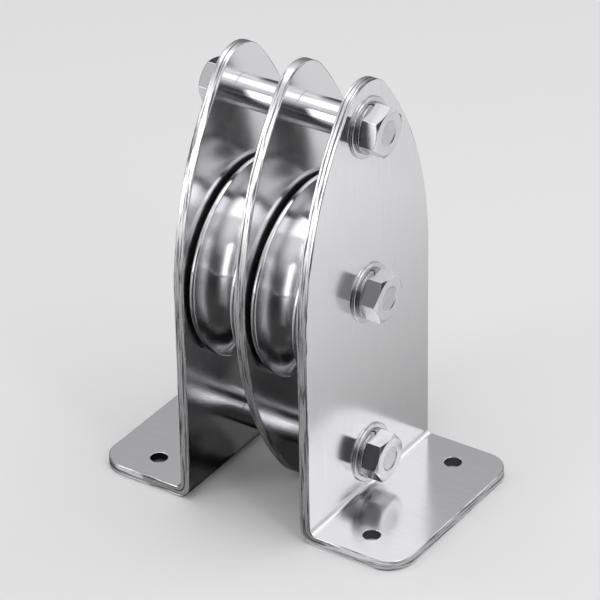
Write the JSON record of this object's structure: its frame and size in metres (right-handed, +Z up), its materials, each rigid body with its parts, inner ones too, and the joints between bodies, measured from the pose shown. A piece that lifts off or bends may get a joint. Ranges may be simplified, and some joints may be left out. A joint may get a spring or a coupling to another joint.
{
  "type": "double block",
  "caption": "Standing rope block: grooved sheaves turn side by side between tall pointed steel plates, joined by through bolts and spacer tubes, on drilled feet.",
  "frame": {"origin": "on the floor plane of the feet, midway between them, under the middle of the centre plate", "axes": "+Z up, +X along the bolts from the nuts to the heads, -Y the front, along which the ropes lead"},
  "size_m": [0.128, 0.078, 0.1654],
  "materials": {
    "plate_steel": "bright stainless sheet with a faint upright grain",
    "sheave_steel": "turned and mirror polished",
    "spacer_steel": "polished tube",
    "sleeve_steel": "ground",
    "fastener_steel": "cold-forged stainless, satin",
    "washer_steel": "pressed stainless, bright",
    "bush_bronze": "machined bronze"
  },
  "bodies": {
    "frame": {"left_cheek_plate": "plate_steel", "right_cheek_plate": "plate_steel", "centre_plate": "plate_steel", "left_axle_sleeve": "sleeve_steel", "right_axle_sleeve": "sleeve_steel", "left_outer_thrust_washer": "bush_bronze", "left_inner_thrust_washer": "bush_bronze", "upper_left_spacer": "spacer_steel", "lower_left_spacer": "spacer_steel", "right_outer_thrust_washer": "bush_bronze", "right_inner_thrust_washer": "bush_bronze", "upper_right_spacer": "spacer_steel", "lower_right_spacer": "spacer_steel", "top_bolt": "fastener_steel", "top_nut": "fastener_steel", "top_spring_washer": "washer_steel", "top_head_washer": "washer_steel", "top_nut_washer": "washer_steel", "axle_bolt": "fastener_steel", "axle_nut": "fastener_steel", "axle_spring_washer": "washer_steel", "axle_head_washer": "washer_steel", "axle_nut_washer": "washer_steel", "bottom_bolt": "fastener_steel", "bottom_nut": "fastener_steel", "bottom_spring_washer": "washer_steel", "bottom_head_washer": "washer_steel", "bottom_nut_washer": "washer_steel"},
    "left_sheave": {"left_sheave": "sheave_steel", "left_sheave_bush": "bush_bronze"},
    "right_sheave": {"right_sheave": "sheave_steel", "right_sheave_bush": "bush_bronze"}
  },
  "joints": [
    {"name": "left_sheave_spin", "type": "hinge", "parent": "frame", "child": "left_sheave", "pos_m": [-0.01275, 0, 0.08346], "axis": [1, 0, 0], "continuous": true},
    {"name": "right_sheave_spin", "type": "hinge", "parent": "frame", "child": "right_sheave", "pos_m": [0.01275, 0, 0.08346], "axis": [1, 0, 0], "continuous": true}
  ]
}
